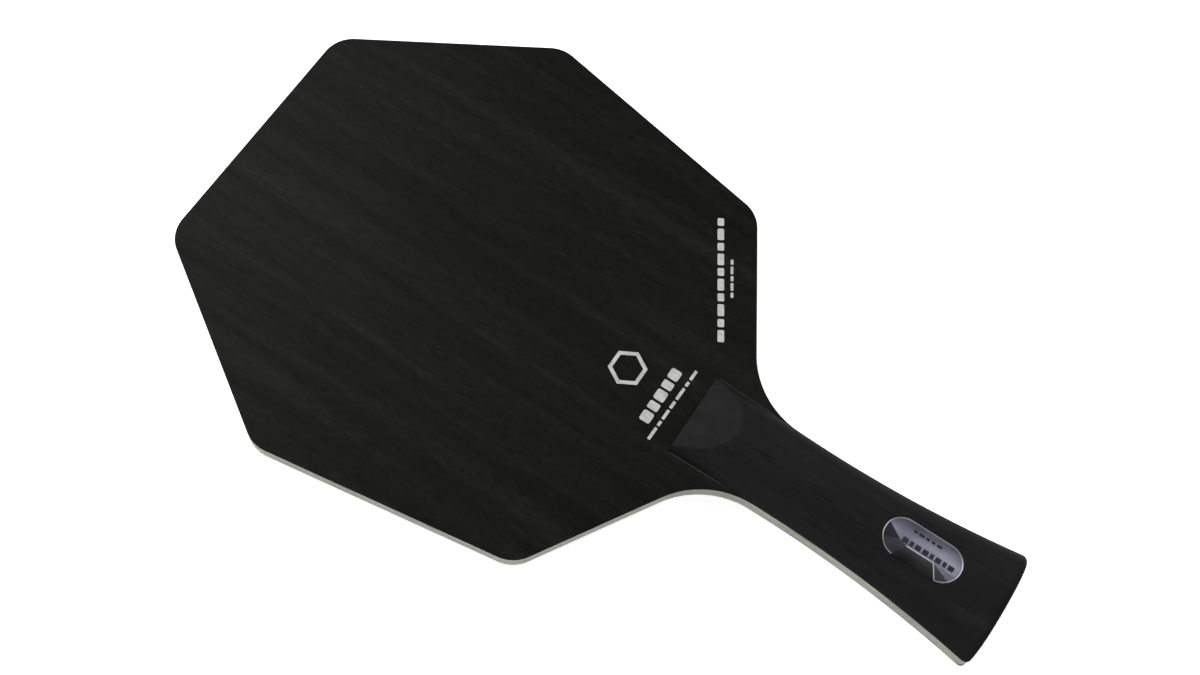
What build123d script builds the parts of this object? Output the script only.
from build123d import *
import os
from math import cos, radians, sin, sqrt, tan

# A bare table tennis blade, without its rubber sheets: seven plies pressed into one flat board, a shaped
# scale glued on each side of the tang to make the flared handle, and a badge let into the front scale.
#
# Frame: X across the blade, +Y along the handle axis towards the head tip, +Z out of the front face.
# The origin is the middle of the overall length, width and thickness. Sizes are in millimetres.
# Distances named "from_tip" are measured along the centre line, from the flat end of the head.

# Blade outline
overall_length = 248.2
head_width = 151.0
tip_width = 78.0
shoulder_width = 125.5
widest_from_tip = 56.8
shoulder_from_tip = 133.4
shoulder_slope = 31.1  # degrees between the edge that runs into the neck and the X axis
flare_from_tip = 180.0
flare_radius = 365.0
head_corner_radius = 10.0
neck_radius = 26.0
butt_corner_radius = 2.0

# Plies, from the back face to the front face, with their thicknesses
plies = [
    ("back_outer_veneer", 0.6),
    ("back_inner_veneer", 1.1),
    ("back_carbon_ply", 0.25),
    ("core_ply", 1.9),
    ("front_carbon_ply", 0.25),
    ("front_inner_veneer", 1.1),
    ("front_outer_veneer", 0.6),
]

# Handle scales
scale_from_tip = 150.6
scale_front_width = 26.0
seat_depth = 0.1  # how far the outer veneers are sanded back under the scales, for the glue to hold
neck_taper = 1.07  # degrees between each side of the neck and the centre line
scale_height_neck = 7.8
scale_height_butt = 9.0
side_lean = 20.0  # degrees between the scale's side, where it meets the board, and the Z axis
side_reach = 0.66  # share of the height over which the side's lean shapes the section
crown_fullness = 0.58  # share of the half width over which the section stays flat at its crown
shoulder_wall_height = 2.4
shoulder_bevel_angle = 22.5
bevel_crest_radius = 2.0
shoulder_edge_radius = 0.4
scale_stations = 8

# Badge in the front scale
badge_from_tip = 222.0
badge_length = 23.4
badge_width = 11.4
badge_thickness = 1.4  # at its middle, from the pocket floor to the crown of the handle
badge_gap = 0.15
badge_recess = 0.1
adhesive_thickness = 0.15
window_depth = 4.0
window_inner_length = 8.3
window_outer_length = 13.0
window_recess = 0.1

board_thickness = sum(thickness for label, thickness in plies)
face_height = board_thickness / 2
seat_height = face_height - seat_depth


def along(from_tip):
    """The Y of a point on the centre line, from its distance to the head tip."""
    return overall_length / 2 - from_tip


def neck_half_width(from_tip):
    """Half the width between the neck's straight sides, which taper from the scales' front to the flare."""
    return scale_front_width / 2 - (from_tip - scale_from_tip) * tan(radians(neck_taper))


def handle_half_width(from_tip):
    """Half the handle's width: straight at the neck, then opening along an arc that is tangent to it."""
    if from_tip <= flare_from_tip:
        return neck_half_width(from_tip)
    taper = radians(neck_taper)
    centre_x = neck_half_width(flare_from_tip) + flare_radius * cos(taper)
    centre_from_tip = flare_from_tip + flare_radius * sin(taper)
    return centre_x - sqrt(flare_radius**2 - (from_tip - centre_from_tip) ** 2)


def scale_height(from_tip):
    """Height of the scale's crown above the board, rising evenly from the neck to the butt."""
    share = (from_tip - scale_from_tip) / (overall_length - scale_from_tip)
    return scale_height_neck + share * (scale_height_butt - scale_height_neck)


def save_step(builder, label):
    """Name the builder's part and write it as a file of its own."""
    builder.part.label = label
    export_step(builder.part, f"parts/{label}.step")


os.makedirs("parts", exist_ok=True)

# The outline that every ply shares: six-sided head, neck and tang
shoulder_half = shoulder_width / 2
shoulder_rise = tan(radians(shoulder_slope))
neck_gap = shoulder_half - neck_half_width(shoulder_from_tip)
neck_corner_from_tip = shoulder_from_tip + neck_gap * shoulder_rise / (
    1 - shoulder_rise * tan(radians(neck_taper))
)
butt_half = handle_half_width(overall_length)

with BuildSketch() as board_outline:
    with BuildLine():
        side = Polyline(
            (tip_width / 2, along(0)),
            (head_width / 2, along(widest_from_tip)),
            (shoulder_half, along(shoulder_from_tip)),
            (neck_half_width(neck_corner_from_tip), along(neck_corner_from_tip)),
            (neck_half_width(flare_from_tip), along(flare_from_tip)),
        )
        TangentArc(side @ 1, (butt_half, along(overall_length)), tangent=side % 1)
        mirror(about=Plane.YZ)
        Line((-tip_width / 2, along(0)), (tip_width / 2, along(0)))
        Line((-butt_half, along(overall_length)), (butt_half, along(overall_length)))
    make_face()
    fillet(board_outline.vertices().group_by(Axis.Y)[0], butt_corner_radius)
    neck_corners = board_outline.vertices().group_by(Axis.Y)[-4]
    fillet(neck_corners, neck_radius)
    head_corners = board_outline.vertices().group_by(Axis.Y)[-3:]
    fillet([corner for pair in head_corners for corner in pair], head_corner_radius)

# The shallow seats for the scales, one in each face of the board
scale_front_half = scale_front_width / 2
with BuildPart() as scale_seats:
    with BuildSketch(Plane.XY.offset(seat_height)):
        with BuildLine():
            seat_side = Line(
                (scale_front_half, along(scale_from_tip)),
                (neck_half_width(flare_from_tip), along(flare_from_tip)),
            )
            TangentArc(seat_side @ 1, (butt_half, along(overall_length)), tangent=seat_side % 1)
            mirror(about=Plane.YZ)
            Line((-scale_front_half, along(scale_from_tip)), (scale_front_half, along(scale_from_tip)))
            Line((-butt_half, along(overall_length)), (butt_half, along(overall_length)))
        make_face()
    extrude(amount=seat_depth)
    mirror(about=Plane.XY)

ply_bottom = -face_height
for label, thickness in plies:
    with BuildPart() as ply:
        with BuildSketch(Plane.XY.offset(ply_bottom)):
            add(board_outline.sketch)
        extrude(amount=thickness)
        add(scale_seats.part, mode=Mode.SUBTRACT)
    save_step(ply, label)
    ply_bottom += thickness

# The shape both scales start from: a half-round bar with a bevelled shoulder and a rounded butt end.
# Its sections stand on the front seat, square to the handle axis.
with BuildPart() as scale_blank:
    for station in range(scale_stations):
        from_tip = scale_from_tip + (overall_length - scale_from_tip) * station / (scale_stations - 1)
        half = handle_half_width(from_tip)
        crown = seat_depth + scale_height(from_tip)
        lean_x = half - side_reach * crown * sin(radians(side_lean))
        lean_z = side_reach * crown * cos(radians(side_lean))
        section_plane = Plane(origin=(0, along(from_tip), seat_height), x_dir=(1, 0, 0), z_dir=(0, -1, 0))
        with BuildSketch(section_plane):
            with BuildLine():
                Bezier((half, 0), (lean_x, lean_z), (crown_fullness * half, crown), (0, crown))
                Bezier((0, crown), (-crown_fullness * half, crown), (-lean_x, lean_z), (-half, 0))
                Line((-half, 0), (half, 0))
            make_face()
    loft()
    tilt = radians(shoulder_bevel_angle)
    bevel_plane = Plane(
        origin=(0, along(scale_from_tip), face_height + shoulder_wall_height),
        z_dir=(0, sin(tilt), cos(tilt)),
    )
    split(bisect_by=bevel_plane, keep=Keep.BOTTOM)
    butt_edges = scale_blank.faces().sort_by(Axis.Y)[0].edges().filter_by(GeomType.LINE, reverse=True)
    fillet(butt_edges, butt_corner_radius)
    bevel_face = scale_blank.faces().filter_by(GeomType.PLANE).sort_by(Axis.Y)[-2]
    fillet(bevel_face.edges().filter_by(GeomType.LINE, reverse=True), bevel_crest_radius)
    shoulder_wall = scale_blank.faces().sort_by(Axis.Y)[-1]
    fillet(shoulder_wall.edges().group_by(Axis.Z)[1:], shoulder_edge_radius)

with BuildPart() as back_handle_scale:
    mirror(scale_blank.part, about=Plane.XY)
save_step(back_handle_scale, "back_handle_scale")

# Front scale, with a slot-shaped pocket for the badge milled into its crown
pocket_floor = face_height + scale_height(badge_from_tip) - badge_thickness
badge_centre = Location((0, along(badge_from_tip)))

with BuildPart() as front_handle_scale:
    add(scale_blank.part)
    with BuildSketch(Plane.XY.offset(pocket_floor)):
        with Locations(badge_centre):
            SlotOverall(badge_length + 2 * badge_gap, badge_width + 2 * badge_gap, rotation=90)
    extrude(amount=scale_height_butt, mode=Mode.SUBTRACT)
save_step(front_handle_scale, "front_handle_scale")

# Badge: a film of adhesive on the pocket's floor, a nameplate that follows the crown of the handle, and a
# dark inlay in the notch at the nameplate's -X side
with BuildSketch() as badge_outline:
    with Locations(badge_centre):
        SlotOverall(badge_length, badge_width, rotation=90)

with BuildSketch() as window_outline:
    with Locations(badge_centre):
        inner_x = window_depth - badge_width / 2
        Polygon(
            (inner_x, window_inner_length / 2),
            (inner_x, -window_inner_length / 2),
            (-badge_width / 2, -window_outer_length / 2),
            (-badge_width / 2, window_outer_length / 2),
            align=None,
        )

with BuildPart() as badge_adhesive:
    with BuildSketch(Plane.XY.offset(pocket_floor)):
        add(badge_outline.sketch)
    extrude(amount=adhesive_thickness)
save_step(badge_adhesive, "badge_adhesive")

badge_bottom = pocket_floor + adhesive_thickness
with BuildPart() as badge_plate:
    with BuildSketch(Plane.XY.offset(badge_bottom)):
        add(badge_outline.sketch)
        add(window_outline.sketch, mode=Mode.SUBTRACT)
    extrude(amount=badge_thickness)
    add(scale_blank.part.moved(Location((0, 0, -badge_recess))), mode=Mode.INTERSECT)
save_step(badge_plate, "badge_plate")

with BuildPart() as badge_window:
    with BuildSketch(Plane.XY.offset(badge_bottom)):
        add(badge_outline.sketch)
        add(window_outline.sketch, mode=Mode.INTERSECT)
    extrude(amount=badge_thickness)
    add(scale_blank.part.moved(Location((0, 0, -badge_recess - window_recess))), mode=Mode.INTERSECT)
save_step(badge_window, "badge_window")
